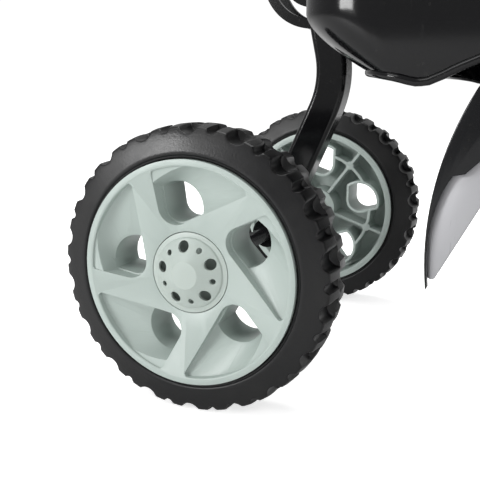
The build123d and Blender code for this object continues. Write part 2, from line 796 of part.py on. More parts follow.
with BuildPart() as tine_guard:
    add(guard_shell.part)
    with BuildSketch(Plane.XY.offset(deck_top)):
        Circle(pilot_radius)
        with PolarLocations(motor_pcd / 2, 4):
            Circle(motor_hole_radius)
        with PolarLocations(flange_bolt_pcd / 2, 4, start_angle=45):
            Circle(flange_bolt_radius)
        with Locations((handle_x, 0)):
            with GridLocations(handle_spacing_x, handle_spacing_y, 2, 2):
                Circle(handle_hole_radius)
    extrude(amount=-2 * guard_wall, mode=Mode.SUBTRACT)
    for face in (-1, 1):
        for height in yoke_hole_z:
            with BuildSketch(Plane((guard_rear, face * yoke_hole_y, height), z_dir=(1, 0, 0))):
                Circle(yoke_bolt_radius)
            extrude(amount=2 * guard_wall, mode=Mode.SUBTRACT)
save(tine_guard.part, "tine_guard")

# ---------------------------------------------------------------- worm and worm wheel
pitch = pi * gear_module
worm_root = worm_pitch_radius - 1.25 * gear_module
worm_tip = worm_pitch_radius + gear_module
worm_turns = 6
thread_flare = 1.25 * gear_module * tan(radians(15))
thread_taper = gear_module * tan(radians(15))
thread_low = rotor_z - pitch * worm_turns / 2

with BuildPart() as worm_shaft:
    with BuildSketch(Plane.XY.offset(worm_foot)):
        Circle(worm_shaft_radius)
    extrude(amount=deck_top - worm_foot)
    with BuildSketch(Plane.XY.offset(deck_top)):
        Circle(stub_radius)
    extrude(amount=shaft_top - deck_top)
    with BuildSketch(Plane.XY.offset(thread_low - pitch)):
        Circle(worm_root)
    extrude(amount=pitch * (worm_turns + 2))
    with BuildLine() as thread:
        Helix(pitch, pitch * worm_turns, worm_root, center=(0, 0, thread_low))
    with BuildSketch(Plane.XZ):
        with BuildLine():
            Polyline(
                (worm_root - 0.4, thread_low - tooth_thickness / 2 - thread_flare),
                (worm_tip, thread_low - tooth_thickness / 2 + thread_taper),
                (worm_tip, thread_low + tooth_thickness / 2 - thread_taper),
                (worm_root - 0.4, thread_low + tooth_thickness / 2 + thread_flare),
                close=True,
            )
        make_face()
    sweep(path=thread.line, is_frenet=True)
save(worm_shaft.part, "worm_shaft")

wheel_root = gear_module * wheel_teeth / 2 - 1.25 * gear_module
wheel_tip = gear_module * wheel_teeth / 2 + gear_module
tooth_root_half = tooth_thickness / 2 + 0.5
tooth_tip_half = tooth_thickness / 2 - 0.4
key_size = 5.0
with BuildPart() as worm_wheel:
    with BuildSketch(side_plane(rotor_x, rotor_z)):
        Circle(wheel_root)
        with PolarLocations(0, wheel_teeth, start_angle=180 / wheel_teeth):
            Polygon(
                (wheel_root - 0.5, -tooth_root_half),
                (wheel_tip, -tooth_tip_half),
                (wheel_tip, tooth_tip_half),
                (wheel_root - 0.5, tooth_root_half),
                align=None,
            )
        Circle(tine_shaft_radius, mode=Mode.SUBTRACT)
        with Locations((0, tine_shaft_radius)):
            Rectangle(key_size, key_size, mode=Mode.SUBTRACT)
    extrude(amount=gear_width / 2, both=True)
save(worm_wheel.part, "worm_wheel")

with BuildPart() as wheel_key:
    with BuildSketch(side_plane(rotor_x, rotor_z)):
        with Locations((0, tine_shaft_radius)):
            Rectangle(key_size, key_size)
    extrude(amount=gear_width / 2, both=True)
save(wheel_key.part, "wheel_key")

# ---------------------------------------------------------------- tine shaft, hubs and tines
hub_ends = {"inner": (case_half + 3.0, 110.0), "outer": (112.0, tine_shaft_half - 1.0)}
pin_y = {"inner": 96.0, "outer": 146.0}
pin_radius = 3.0
pin_head_radius = 5.5
hub_outer = tine_shaft_radius + running + hub_wall

with BuildPart() as tine_shaft:
    with BuildSketch(side_plane(rotor_x, rotor_z)):
        Circle(tine_shaft_radius)
    extrude(amount=tine_shaft_half, both=True)
    with BuildSketch(side_plane(rotor_x, rotor_z)):
        with Locations((0, tine_shaft_radius)):
            Rectangle(key_size, key_size)
    extrude(amount=gear_width / 2, both=True, mode=Mode.SUBTRACT)
    for facing in (-1, 1):
        for place in pin_y.values():
            with BuildSketch(Plane((rotor_x, facing * place, rotor_z))):
                Circle(pin_radius)
            extrude(amount=2 * tine_shaft_radius, both=True, mode=Mode.SUBTRACT)
save(tine_shaft.part, "tine_shaft")

# Each tine is a black C-shaped arm that bends back from a radial shank, and a bright paddle
# fixed behind it.  The outline is drawn from the shaft's centre for the tine that points back.
reach = rotor_radius / 138.0
sweep_centre = (65.0 * reach, -47.0 * reach)
sweep_radius = 186.0 * reach


def on_sweep(angle, inset=0.0):
    """A point on the tine's curved outer edge."""
    x, z = polar(angle, sweep_radius - inset)
    return (sweep_centre[0] + x, sweep_centre[1] + z)


tip_angle = 187.4
elbow_angle = 146.5
notch_angle = 165.2
arm_width = 26.0
paddle_front = (-80.0 * reach, 2.0 * reach)


def arm_sketch():
    """The arm's closed outline."""
    with BuildSketch(Plane.XY) as outline:
        with BuildLine():
            tip = on_sweep(tip_angle)
            elbow = on_sweep(elbow_angle)
            outer = ThreePointArc(tip, on_sweep((tip_angle + elbow_angle) / 2), elbow)
            Polyline(
                elbow,
                (-hub_outer * 0.3, hub_outer * 0.95),
                (-hub_outer * 0.9, -hub_outer * 0.35),
                (elbow[0] + 10.0, elbow[1] - arm_width - 6.0),
                on_sweep(notch_angle - 3.0, 19.0),
                on_sweep(notch_angle, 14.0),
                on_sweep(notch_angle + 1.0, 8.0),
            )
            Spline(
                on_sweep(notch_angle + 1.0, 8.0),
                on_sweep(notch_angle + 7.0, 3.4),
                on_sweep(tip_angle - 7.0, 1.4),
                on_sweep(tip_angle - 0.6, 1.2),
            )
            Line(on_sweep(tip_angle - 0.6, 1.2), tip)
        make_face()
        Circle(hub_outer, mode=Mode.SUBTRACT)
        elbow_vertex = outline.vertices().sort_by_distance(elbow)[0]
        fillet(elbow_vertex, 16.0)
    return outline.sketch


def paddle_sketch():
    """The paddle's closed outline."""
    with BuildSketch(Plane.XY) as outline:
        with BuildLine():
            low = on_sweep(tip_angle + 0.2, 0.6)
            high = on_sweep(notch_angle - 5.0, 0.6)
            ThreePointArc(low, on_sweep((tip_angle + notch_angle - 5.0) / 2, 0.6), high)
            Polyline(high, (-82.0 * reach, 24.0 * reach), paddle_front, low)
        make_face()
        fillet(outline.vertices().sort_by_distance(low)[0], 2.6)
        fillet(outline.vertices().sort_by_distance(paddle_front)[0], 10.0)
    return outline.sketch


arm_outline = arm_sketch()
paddle_outline = paddle_sketch()

tine_places = {
    "right_outer": (-1, outer_tine_y, "outer"),
    "right_inner": (-1, inner_tine_y, "inner"),
    "left_inner": (1, inner_tine_y, "inner"),
    "left_outer": (1, outer_tine_y, "outer"),
}
for name, (facing, tine_y, kind) in tine_places.items():
    low_y, high_y = hub_ends[kind]
    with BuildPart() as hub:
        with BuildSketch(side_plane(rotor_x, rotor_z, facing * (low_y + high_y) / 2)):
            Circle(hub_outer)
            Circle(tine_shaft_radius + running, mode=Mode.SUBTRACT)
        extrude(amount=(high_y - low_y) / 2, both=True)
        with BuildSketch(Plane((rotor_x, facing * pin_y[kind], rotor_z))):
            Circle(pin_radius)
        extrude(amount=2 * hub_outer, both=True, mode=Mode.SUBTRACT)
    save(hub.part, f"{name}_tine_hub")
    turns = [tine_phases[name] + 360 / blades_per_hub * k for k in range(blades_per_hub)]
    with BuildPart() as arms:
        for turn in turns:
            with BuildSketch(side_plane(rotor_x, rotor_z, -tine_y if facing < 0 else tine_y)):
                with Locations(Location((0, 0, 0), (0, 0, turn))):
                    add(arm_outline)
            extrude(amount=arm_thickness / 2, both=True)
    save(arms.part, f"{name}_tine_arms")
    back = facing * tine_y + arm_thickness / 2
    with BuildPart() as paddles:
        for turn in turns:
            with BuildSketch(side_plane(rotor_x, rotor_z, back + paddle_thickness / 2)):
                with Locations(Location((0, 0, 0), (0, 0, turn))):
                    add(paddle_outline)
            extrude(amount=paddle_thickness / 2, both=True)
    save(paddles.part, f"{name}_tine_paddles")

save(
    Compound(children=[
        bolt(Plane((rotor_x, facing * place, rotor_z + hub_outer)), pin_radius,
             2 * hub_outer, pin_head_radius, 3.0, sides=0, thread=6.0)
        for facing in (-1, 1) for place in pin_y.values()
    ]),
    "tine_pins",
)
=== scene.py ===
"""Looks of the garden tiller's lower unit: wheels, bent bracket, guard, gearbox and tines."""
import json
from math import atan2, cos, pi, radians, sin

import bpy
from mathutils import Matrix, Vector


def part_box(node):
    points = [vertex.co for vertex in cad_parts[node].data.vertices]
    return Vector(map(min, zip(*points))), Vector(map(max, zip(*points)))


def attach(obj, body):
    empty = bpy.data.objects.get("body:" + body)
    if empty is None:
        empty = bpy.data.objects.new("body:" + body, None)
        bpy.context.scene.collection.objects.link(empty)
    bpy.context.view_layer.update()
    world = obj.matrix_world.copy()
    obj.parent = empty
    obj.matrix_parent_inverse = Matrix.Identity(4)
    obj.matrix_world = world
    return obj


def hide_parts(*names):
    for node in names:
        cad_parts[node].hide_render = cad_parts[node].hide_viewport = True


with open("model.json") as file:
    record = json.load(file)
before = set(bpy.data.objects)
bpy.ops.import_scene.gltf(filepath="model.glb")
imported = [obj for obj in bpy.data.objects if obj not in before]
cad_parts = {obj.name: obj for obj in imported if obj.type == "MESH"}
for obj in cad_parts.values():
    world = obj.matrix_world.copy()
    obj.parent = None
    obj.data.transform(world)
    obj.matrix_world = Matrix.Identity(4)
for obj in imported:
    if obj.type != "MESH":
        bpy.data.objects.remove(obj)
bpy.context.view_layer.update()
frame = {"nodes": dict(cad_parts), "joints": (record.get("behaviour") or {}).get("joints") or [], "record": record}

mm = 0.001
nodes = frame["nodes"]
record = frame["record"]
joints = {joint["name"]: joint for joint in frame["joints"]}


# ------------------------------------------------------------------ shader node groups
def new_group(name, inputs, outputs):
    """A shader node group with named sockets: each a (name, kind, default)."""
    group = bpy.data.node_groups.new(name, "ShaderNodeTree")
    for label, kind, default in inputs:
        socket = group.interface.new_socket(label, in_out="INPUT", socket_type=kind)
        if default is not None:
            socket.default_value = default
    for label, kind in outputs:
        group.interface.new_socket(label, in_out="OUTPUT", socket_type=kind)
    entry = group.nodes.new("NodeGroupInput")
    leave = group.nodes.new("NodeGroupOutput")
    return group, entry, leave


def add_noise(tree, coords, scale, detail=4.0, roughness=0.55):
    """A noise texture on the given coordinates."""
    noise = tree.nodes.new("ShaderNodeTexNoise")
    noise.inputs["Scale"].default_value = scale
    noise.inputs["Detail"].default_value = detail
    noise.inputs["Roughness"].default_value = roughness
    tree.links.new(coords, noise.inputs["Vector"])
    return noise


def add_range(tree, value, low, high, out_low, out_high):
    """Map a value from one range to another, clamped."""
    ramp = tree.nodes.new("ShaderNodeMapRange")
    ramp.inputs["From Min"].default_value = low
    ramp.inputs["From Max"].default_value = high
    ramp.inputs["To Min"].default_value = out_low
    ramp.inputs["To Max"].default_value = out_high
    tree.links.new(value, ramp.inputs["Value"])
    return ramp.outputs["Result"]


def add_bump(tree, height, strength, distance, normal=None):
    """A bump node on a height."""
    bump = tree.nodes.new("ShaderNodeBump")
    bump.inputs["Strength"].default_value = strength
    bump.inputs["Distance"].default_value = distance
    tree.links.new(height, bump.inputs["Height"])
    if normal is not None:
        tree.links.new(normal, bump.inputs["Normal"])
    return bump.outputs["Normal"]


def build_grain_group():
    """Fine moulded grain over slow mottling: a height, a mottle mask and fine specks."""
    group, entry, leave = new_group(
        "moulded_grain",
        [("Vector", "NodeSocketVector", None), ("Grain Scale", "NodeSocketFloat", 900.0),
         ("Mottle Scale", "NodeSocketFloat", 14.0)],
        [("Height", "NodeSocketFloat"), ("Mottle", "NodeSocketFloat"), ("Speck", "NodeSocketFloat")],
    )
    grain = group.nodes.new("ShaderNodeTexNoise")
    grain.inputs["Detail"].default_value = 3.0
    group.links.new(entry.outputs["Vector"], grain.inputs["Vector"])
    group.links.new(entry.outputs["Grain Scale"], grain.inputs["Scale"])
    mottle = group.nodes.new("ShaderNodeTexNoise")
    mottle.inputs["Detail"].default_value = 5.0
    group.links.new(entry.outputs["Vector"], mottle.inputs["Vector"])
    group.links.new(entry.outputs["Mottle Scale"], mottle.inputs["Scale"])
    speck = add_noise(group, entry.outputs["Vector"], 260.0, detail=2.0)
    spots = add_range(group, speck.outputs["Fac"], 0.66, 0.74, 0.0, 1.0)
    group.links.new(grain.outputs["Fac"], leave.inputs["Height"])
    group.links.new(mottle.outputs["Fac"], leave.inputs["Mottle"])
    group.links.new(spots, leave.inputs["Speck"])
    return group


def build_scratch_group():
    """Thin scratches in two directions, as a mask."""
    group, entry, leave = new_group(
        "fine_scratches",
        [("Vector", "NodeSocketVector", None)],
        [("Mask", "NodeSocketFloat")],
    )
    masks = []
    for turn, stretch in ((0.35, 60.0), (1.9, 45.0)):
        mapping = group.nodes.new("ShaderNodeMapping")
        mapping.inputs["Rotation"].default_value = (0.3, turn, 0.2)
        mapping.inputs["Scale"].default_value = (stretch, 4.0, 4.0)
        group.links.new(entry.outputs["Vector"], mapping.inputs["Vector"])
        noise = add_noise(group, mapping.outputs["Vector"], 12.0, detail=2.0)
        masks.append(add_range(group, noise.outputs["Fac"], 0.68, 0.71, 0.0, 1.0))
    longest = group.nodes.new("ShaderNodeMath")
    longest.operation = "MAXIMUM"
    group.links.new(masks[0], longest.inputs[0])
    group.links.new(masks[1], longest.inputs[1])
    group.links.new(longest.outputs["Value"], leave.inputs["Mask"])
    return group


grain_group = build_grain_group()
scratch_group = build_scratch_group()


def place_group(tree, group, coords):
    """Place a node group and feed it the coordinates."""
    node = tree.nodes.new("ShaderNodeGroup")
    node.node_tree = group
    tree.links.new(coords, node.inputs["Vector"])
    return node


def start_material(name, color, roughness, metallic=0.0):
    """A material with its Principled shader and object coordinates."""
    material = bpy.data.materials.new(name)
    material.use_nodes = True
    tree = material.node_tree
    shader = tree.nodes["Principled BSDF"]
    shader.inputs["Base Color"].default_value = (*color, 1.0)
    shader.inputs["Roughness"].default_value = roughness
    shader.inputs["Metallic"].default_value = metallic
    coords = tree.nodes.new("ShaderNodeTexCoord").outputs["Object"]
    return material, tree, shader, coords


def mix_colors(tree, factor, first, second):
    """Mix two colours by a mask; each is a colour or a socket."""
    mix = tree.nodes.new("ShaderNodeMix")
    mix.data_type = "RGBA"
    tree.links.new(factor, mix.inputs["Factor"])
    for socket, color in (("A", first), ("B", second)):
        target = [s for s in mix.inputs if s.name == socket and s.type == "RGBA"][0]
        if isinstance(color, tuple):
            target.default_value = (*color, 1.0)
        else:
            tree.links.new(color, target)
    return [s for s in mix.outputs if s.type == "RGBA"][0]


def moulded_plastic(name, color, shade, roughness, grain_bump=0.12):
    """Satin moulded plastic with fine spark-eroded grain and slow colour drift."""
    material, tree, shader, coords = start_material(name, color, roughness)
    grain = place_group(tree, grain_group, coords)
    drift = add_range(tree, grain.outputs["Mottle"], 0.35, 0.65, 0.0, 1.0)
    tree.links.new(mix_colors(tree, drift, color, shade), shader.inputs["Base Color"])
    rough = add_range(tree, grain.outputs["Mottle"], 0.3, 0.7, roughness - 0.05, roughness + 0.06)
    tree.links.new(rough, shader.inputs["Roughness"])
    normal = add_bump(tree, grain.outputs["Height"], grain_bump, 0.0002)
    tree.links.new(normal, shader.inputs["Normal"])
    return material


def tyre_rubber(name):
    """Black tyre rubber: dull, faintly dusty, with a fine cast skin."""
    base = (0.0055, 0.0055, 0.006)
    material, tree, shader, coords = start_material(name, base, 0.5)
    shader.inputs["Specular IOR Level"].default_value = 0.3
    grain = place_group(tree, grain_group, coords)
    grain.inputs["Grain Scale"].default_value = 620.0
    grain.inputs["Mottle Scale"].default_value = 30.0
    dust = add_range(tree, grain.outputs["Mottle"], 0.48, 0.75, 0.0, 0.6)
    tree.links.new(mix_colors(tree, dust, base, (0.013, 0.0127, 0.0124)), shader.inputs["Base Color"])
    rough = add_range(tree, grain.outputs["Mottle"], 0.3, 0.7, 0.29, 0.43)
    tree.links.new(rough, shader.inputs["Roughness"])
    normal = add_bump(tree, grain.outputs["Height"], 0.25, 0.0003)
    tree.links.new(normal, shader.inputs["Normal"])
    return material


def gloss_paint(name, color=(0.006, 0.0062, 0.007), roughness=0.16):
    """Glossy black powder coat with a slight orange peel and a few fine scratches."""
    material, tree, shader, coords = start_material(name, color, roughness)
    shader.inputs["Specular IOR Level"].default_value = 0.2
    shader.inputs["Coat Weight"].default_value = 0.15
    shader.inputs["Coat Roughness"].default_value = 0.08
    grain = place_group(tree, grain_group, coords)
    grain.inputs["Grain Scale"].default_value = 240.0
    scratches = place_group(tree, scratch_group, coords)
    rough = add_range(tree, scratches.outputs["Mask"], 0.0, 1.0, roughness, roughness + 0.1)
    tree.links.new(rough, shader.inputs["Roughness"])
    tree.links.new(
        mix_colors(tree, grain.outputs["Speck"], color, (0.008, 0.008, 0.008)),
        shader.inputs["Base Color"],
    )
    peel = add_bump(tree, grain.outputs["Height"], 0.05, 0.0004)
    tree.links.new(peel, shader.inputs["Normal"])
    return material


def bare_metal(name, color, roughness, bump=0.08):
    """Bare or plated metal with brushing, scratches and slight staining."""
    material, tree, shader, coords = start_material(name, color, roughness, metallic=1.0)
    grain = place_group(tree, grain_group, coords)
    scratches = place_group(tree, scratch_group, coords)
    dull = tuple(channel * 0.72 for channel in color)
    stain = add_range(tree, grain.outputs["Mottle"], 0.45, 0.72, 0.0, 1.0)
    tree.links.new(mix_colors(tree, stain, color, dull), shader.inputs["Base Color"])
    rough = add_range(tree, scratches.outputs["Mask"], 0.0, 1.0, roughness, roughness + 0.2)
    tree.links.new(rough, shader.inputs["Roughness"])
    normal = add_bump(tree, grain.outputs["Height"], bump, 0.0002)
    tree.links.new(normal, shader.inputs["Normal"])
    return material


materials = {
    "rim_plastic": moulded_plastic("sage_moulded_plastic", (0.355, 0.41, 0.385), (0.335, 0.39, 0.365), 0.4),
    "cap_plastic": moulded_plastic("sage_cap_plastic", (0.375, 0.425, 0.395), (0.35, 0.40, 0.372), 0.36),
    "tyre_rubber": tyre_rubber("tyre_rubber"),
    "bush_plastic": moulded_plastic("acetal_bush", (0.62, 0.62, 0.57), (0.55, 0.55, 0.5), 0.4),
    "black_paint": gloss_paint("gloss_black_paint", (0.003, 0.003, 0.0035), 0.14),
    "black_rod": gloss_paint("black_rod_finish", (0.01, 0.01, 0.011), 0.22),
    "tine_paint": gloss_paint("tine_black_paint", (0.004, 0.0042, 0.005), 0.2),
    "bright_steel": bare_metal("bright_tine_steel", (0.42, 0.42, 0.435), 0.46),
    "cast_alloy": bare_metal("cast_alloy", (0.46, 0.47, 0.48), 0.5, bump=0.35),
    "seal_rubber": moulded_plastic("seal_rubber", (0.016, 0.016, 0.017), (0.024, 0.024, 0.024), 0.6),
    "black_plastic": moulded_plastic("black_moulded_plastic", (0.014, 0.014, 0.015), (0.02, 0.02, 0.02), 0.4),
    "brass": bare_metal("turned_brass", (0.72, 0.52, 0.22), 0.28),
    "bronze": bare_metal("cut_bronze", (0.55, 0.36, 0.16), 0.35),
    "machined_steel": bare_metal("ground_steel", (0.55, 0.56, 0.58), 0.25),
    "zinc_steel": bare_metal("zinc_plate", (0.62, 0.63, 0.6), 0.32),
}

slots = {part["node"]: part["material_slot"] for part in record["subparts"]}
for name, node in nodes.items():
    node.data.materials.clear()
    node.data.materials.append(materials[slots[name]])


# ------------------------------------------------------------------ pieces
bodies_of = {node: body for body, members in record["behaviour"]["bodies"].items() for node in members}


def select_nothing():
    """Deselect every object."""
    bpy.ops.object.select_all(action="DESELECT")


def select_only(piece):
    """Select one piece and make it the active one."""
    select_nothing()
    piece.select_set(True)
    bpy.context.view_layer.objects.active = piece


def stand_in(piece, name):
    """Let a piece stand for a CAD node, ride on its body and wear its finish."""
    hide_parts(name)
    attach(piece, bodies_of[name])
    piece.data.materials.clear()
    piece.data.materials.append(materials[slots[name]])


def merged_copy(name, flatness):
    """A copy of a CAD node with its triangles merged, and joined where they lie flat."""
    piece = bpy.data.objects.new(name + "_finished", nodes[name].data.copy())
    bpy.context.scene.collection.objects.link(piece)
    select_only(piece)
    bpy.ops.object.mode_set(mode="EDIT")
    bpy.ops.mesh.select_all(action="SELECT")
    bpy.ops.mesh.remove_doubles(threshold=0.00001)
    if flatness > 0:
        bpy.ops.mesh.dissolve_limited(angle_limit=radians(flatness))
    bpy.ops.object.mode_set(mode="OBJECT")
    return piece


def smooth_copy(name):
    """A merged copy of a CAD node whose round faces are shaded smooth."""
    piece = merged_copy(name, 0.0)
    bpy.ops.object.shade_smooth_by_angle(angle=radians(30.0))
    stand_in(piece, name)


def rounded_copy(name, width, angle=35.0, segments=2):
    """A merged copy of a CAD node with its hard edges rounded over."""
    piece = merged_copy(name, 0.5)
    bevel = piece.modifiers.new("edge_rounding", "BEVEL")
    bevel.width = width
    bevel.segments = segments
    bevel.limit_method = "ANGLE"
    bevel.angle_limit = radians(angle)
    bpy.ops.object.modifier_apply(modifier=bevel.name)
    bpy.ops.object.shade_smooth_by_angle(angle=radians(40.0))
    stand_in(piece, name)
    return piece


# ------------------------------------------------------------------ tyres
tyre_radius = 100.0 * mm
shoulder_radius = 98.2 * mm
tread_half = 19.5 * mm
crown_half = 19.2 * mm
crown_rows = 44
lug_count = 18
steps_per_lug = 36
lug_root = 88 * mm
lug_blend = 1.6 * mm
scallop_radius = 7.0 * mm
groove_radius = 3.0 * mm
scallop_floor = 93.8 * mm
groove_floor = 95.0 * mm
past_tread = tyre_radius + 5 * mm
open_tread = tyre_radius + 2 * mm
wheel_turns = {"right": radians(-10.4), "left": radians(-16.9)}
outward = {"right": -1.0, "left": 1.0}


def cut_radius(angle, offset, radius, floor):
    """Radius of the floor that a round cutter leaves in the tread, at an angle."""
    pitch_angle = 2 * pi / lug_count
    away = (angle - offset + pitch_angle / 2) % pitch_angle - pitch_angle / 2
    centre = floor + radius
    across = centre * sin(away)
    if abs(across) >= radius:
        return past_tread
    return centre * cos(away) - (radius ** 2 - across ** 2) ** 0.5


def soft_least(first, second, blend):
    """The lesser of two values, blended over a short span."""
    share = max(blend - abs(first - second), 0.0) / blend
    return min(first, second) - share * share * blend / 4


def tread_floor(angle, height):
    """Radius that the shoulder cuts leave at an angle and a distance from the mid-plane."""
    half_pitch = pi / lug_count
    turn = 0.0 if height > 0 else half_pitch
    big = cut_radius(angle, turn, scallop_radius, scallop_floor)
    small = cut_radius(angle, turn + half_pitch, groove_radius, groove_floor)
    depth_in = min(max((abs(height) + 0.6 * mm) / (2.4 * mm), 0.0), 1.0)
    floor = min(big, small)
    return floor + (open_tread - min(floor, open_tread)) * (1 - depth_in) ** 2


def tyre_section():
    """Outer section of the tyre from one bead over the tread to the other: (radius, height) points."""
    side = [
        (74.2, 20.0), (77.6, 20.2), (78.2, 22.0), (78.6, 22.3), (79.6, 22.3), (80.3, 23.3), (81.2, 23.6),
        (83.0, 23.3), (85.0, 22.9), (87.5, 22.4), (90.0, 21.9), (91.5, 21.6), (92.7, 21.3), (93.6, 21.1),
        (94.4, 20.9), (95.1, 20.7), (95.8, 20.5), (96.4, 20.3), (97.0, 20.1), (97.5, 19.8), (97.9, 19.4),
    ]
    upper = [(radius * mm, height * mm) for radius, height in side]
    crown = []
    for row in range(1, crown_rows):
        height = (1 - 2 * row / crown_rows) * crown_half
        crown.append((tyre_radius - (tyre_radius - shoulder_radius) * (height / tread_half) ** 2, height))
    lower = [(radius, -height) for radius, height in reversed(upper)]
    return upper + crown + lower


def model_tread():
    """The tyre, spun flat about its axle, with the lugs pressed into both shoulders."""
    section = tyre_section()
    select_nothing()
    bpy.ops.mesh.primitive_plane_add(size=mm)
    tread = bpy.context.object
    tread.name = "tyre_tread"
    bpy.ops.object.mode_set(mode="EDIT")
    bpy.ops.mesh.delete(type="VERT")
    bpy.ops.object.mode_set(mode="OBJECT")
    tread.data.from_pydata(
        [(radius, 0.0, height) for radius, height in section],
        [(row, row + 1) for row in range(len(section) - 1)],
        [],
    )
    bpy.ops.object.mode_set(mode="EDIT")
    bpy.ops.mesh.select_all(action="SELECT")
    bpy.ops.mesh.spin(steps=lug_count * steps_per_lug, angle=2 * pi, center=(0, 0, 0), axis=(0, 0, 1))
    bpy.ops.mesh.select_all(action="SELECT")
    bpy.ops.mesh.remove_doubles(threshold=0.00002)
    bpy.ops.mesh.normals_make_consistent(inside=False)
    bpy.ops.object.mode_set(mode="OBJECT")
    for vertex in tread.data.vertices:
        x, y, z = vertex.co
        radius = (x * x + y * y) ** 0.5
        if radius > lug_root:
            angle = atan2(y, x)
            radius = soft_least(radius, tread_floor(angle, z), lug_blend)
            vertex.co = (radius * cos(angle), radius * sin(angle), z)
    bpy.ops.object.shade_smooth_by_angle(angle=radians(50.0))
    return tread


def fit_tyre(tread, side):
    """A wheel's own copy of the tread, turned to its phase and stood on the wheel's axis."""
    tyre = bpy.data.objects.new(side + "_tyre_tread", tread.data.copy())
    bpy.context.scene.collection.objects.link(tyre)
    centre = Vector(joints[side + "_wheel_spin"]["pos_m"])
    facing = outward[side]
    turn = wheel_turns[side]
    for vertex in tyre.data.vertices:
        x, y, z = vertex.co
        along, up = x * cos(turn) - y * sin(turn), x * sin(turn) + y * cos(turn)
        vertex.co = centre + Vector((-facing * along, facing * z, up))
    stand_in(tyre, side + "_tyre")


tread = model_tread()
for side in ("right", "left"):
    fit_tyre(tread, side)
bpy.data.objects.remove(tread)


# ------------------------------------------------------------------ tine guard
guard_low, guard_high = (Vector(corner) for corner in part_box("tine_guard"))
deck_top = -8.0 * mm
guard_waist = -32.0 * mm
guard_lip = -117.5 * mm
plan_round = 42.0 * mm
deck_round = 20.0 * mm
guard_wall = 3.0 * mm
lip_radius = 2.4 * mm
belly_from, belly_span = -76.0 * mm, 41.5 * mm
rear_from, rear_span = -60.0 * mm, 96.0 * mm
rear_tuck = 56.0 * mm
side_from, side_span = -78.0 * mm, 40.0 * mm
side_tuck = 0.03
handle_bolt_hole, motor_bolt_hole, flange_bolt_hole, pilot_hole = 4.2, 3.3, 3.0, 25.0
handle_bolts_x, handle_bolts_y, handle_bolt_half_gap = -84.0, 80.0, 20.0
motor_bolt_reach = 52.0
flange_bolt_reach = 28.28


def lower_edge(x):
    """Height of the guard's lower edge along its length."""
    points = [
        (-160, -108.0), (-140, -109.0), (-120, -111.0), (-104, -113.6), (-90, -113.4),
        (-76, -110.3), (-62, -105.4), (-45, -98.6), (-25, -91.0), (0, -82.0),
        (42, -71.5), (90, -65.5), (130, -65.0), (175, -68.0),
    ]
    for (x_0, z_0), (x_1, z_1) in zip(points, points[1:]):
        if x * 1000 <= x_1:
            share = min(max((x * 1000 - x_0) / (x_1 - x_0), 0.0), 1.0)
            return (z_0 + (z_1 - z_0) * share) * mm
    return points[-1][1] * mm


def guard_point(point):
    """Move a point of the plain box onto the guard's rounded, tucked-in skin."""
    middle = (guard_low + guard_high) / 2
    half_x = (guard_high.x - guard_low.x) / 2
    half_y = (guard_high.y - guard_low.y) / 2
    away = Vector((point.x - middle.x, point.y, 0.0))
    core = Vector((
        min(max(away.x, plan_round - half_x), half_x - plan_round),
        min(max(away.y, plan_round - half_y), half_y - plan_round),
        0.0,
    ))
    out = away - core
    if out.length > plan_round:
        out *= plan_round / out.length
    inset = core + out
    if out.length > plan_round - deck_round:
        inset = core + out * ((plan_round - deck_round) / out.length)
    base = Vector((inset.x, inset.y, min(point.z, deck_top - deck_round)))
    lift = Vector(((core + out).x, (core + out).y, point.z)) - base
    if lift.length > 1e-9:
        lift *= deck_round / lift.length
    skin = base + lift
    skin.x += middle.x
    if skin.z < guard_waist:
        share = (guard_waist - skin.z) / (guard_waist - guard_lip)
        skin.z = guard_waist + (lower_edge(skin.x) - guard_waist) * share
        drop = min(max((belly_from - skin.z) / belly_span, 0.0), 1.0)
        rear = min(max((rear_from - skin.x) / rear_span, 0.0), 1.0)
        skin.x += rear_tuck * drop ** 1.5 * rear ** 1.3
        tuck = min(max((side_from - skin.z) / side_span, 0.0), 1.0)
        skin.y *= 1 - side_tuck * tuck ** 2
    return skin


def guard_holes():
    """The deck's holes as (x, y, radius): handle bolts, motor bolts, pilot opening and flange bolts."""
    holes = [
        (handle_bolts_x + dx, dy, handle_bolt_hole)
        for dx in (-handle_bolt_half_gap, handle_bolt_half_gap) for dy in (-handle_bolts_y, handle_bolts_y)
    ]
    holes += [
        (x, y, motor_bolt_hole)
        for x, y in (
            (motor_bolt_reach, 0), (-motor_bolt_reach, 0), (0, motor_bolt_reach), (0, -motor_bolt_reach)
        )
    ]
    holes.append((0, 0, pilot_hole))
    holes += [
        (x, y, flange_bolt_hole)
        for x in (flange_bolt_reach, -flange_bolt_reach) for y in (flange_bolt_reach, -flange_bolt_reach)
    ]
    return holes


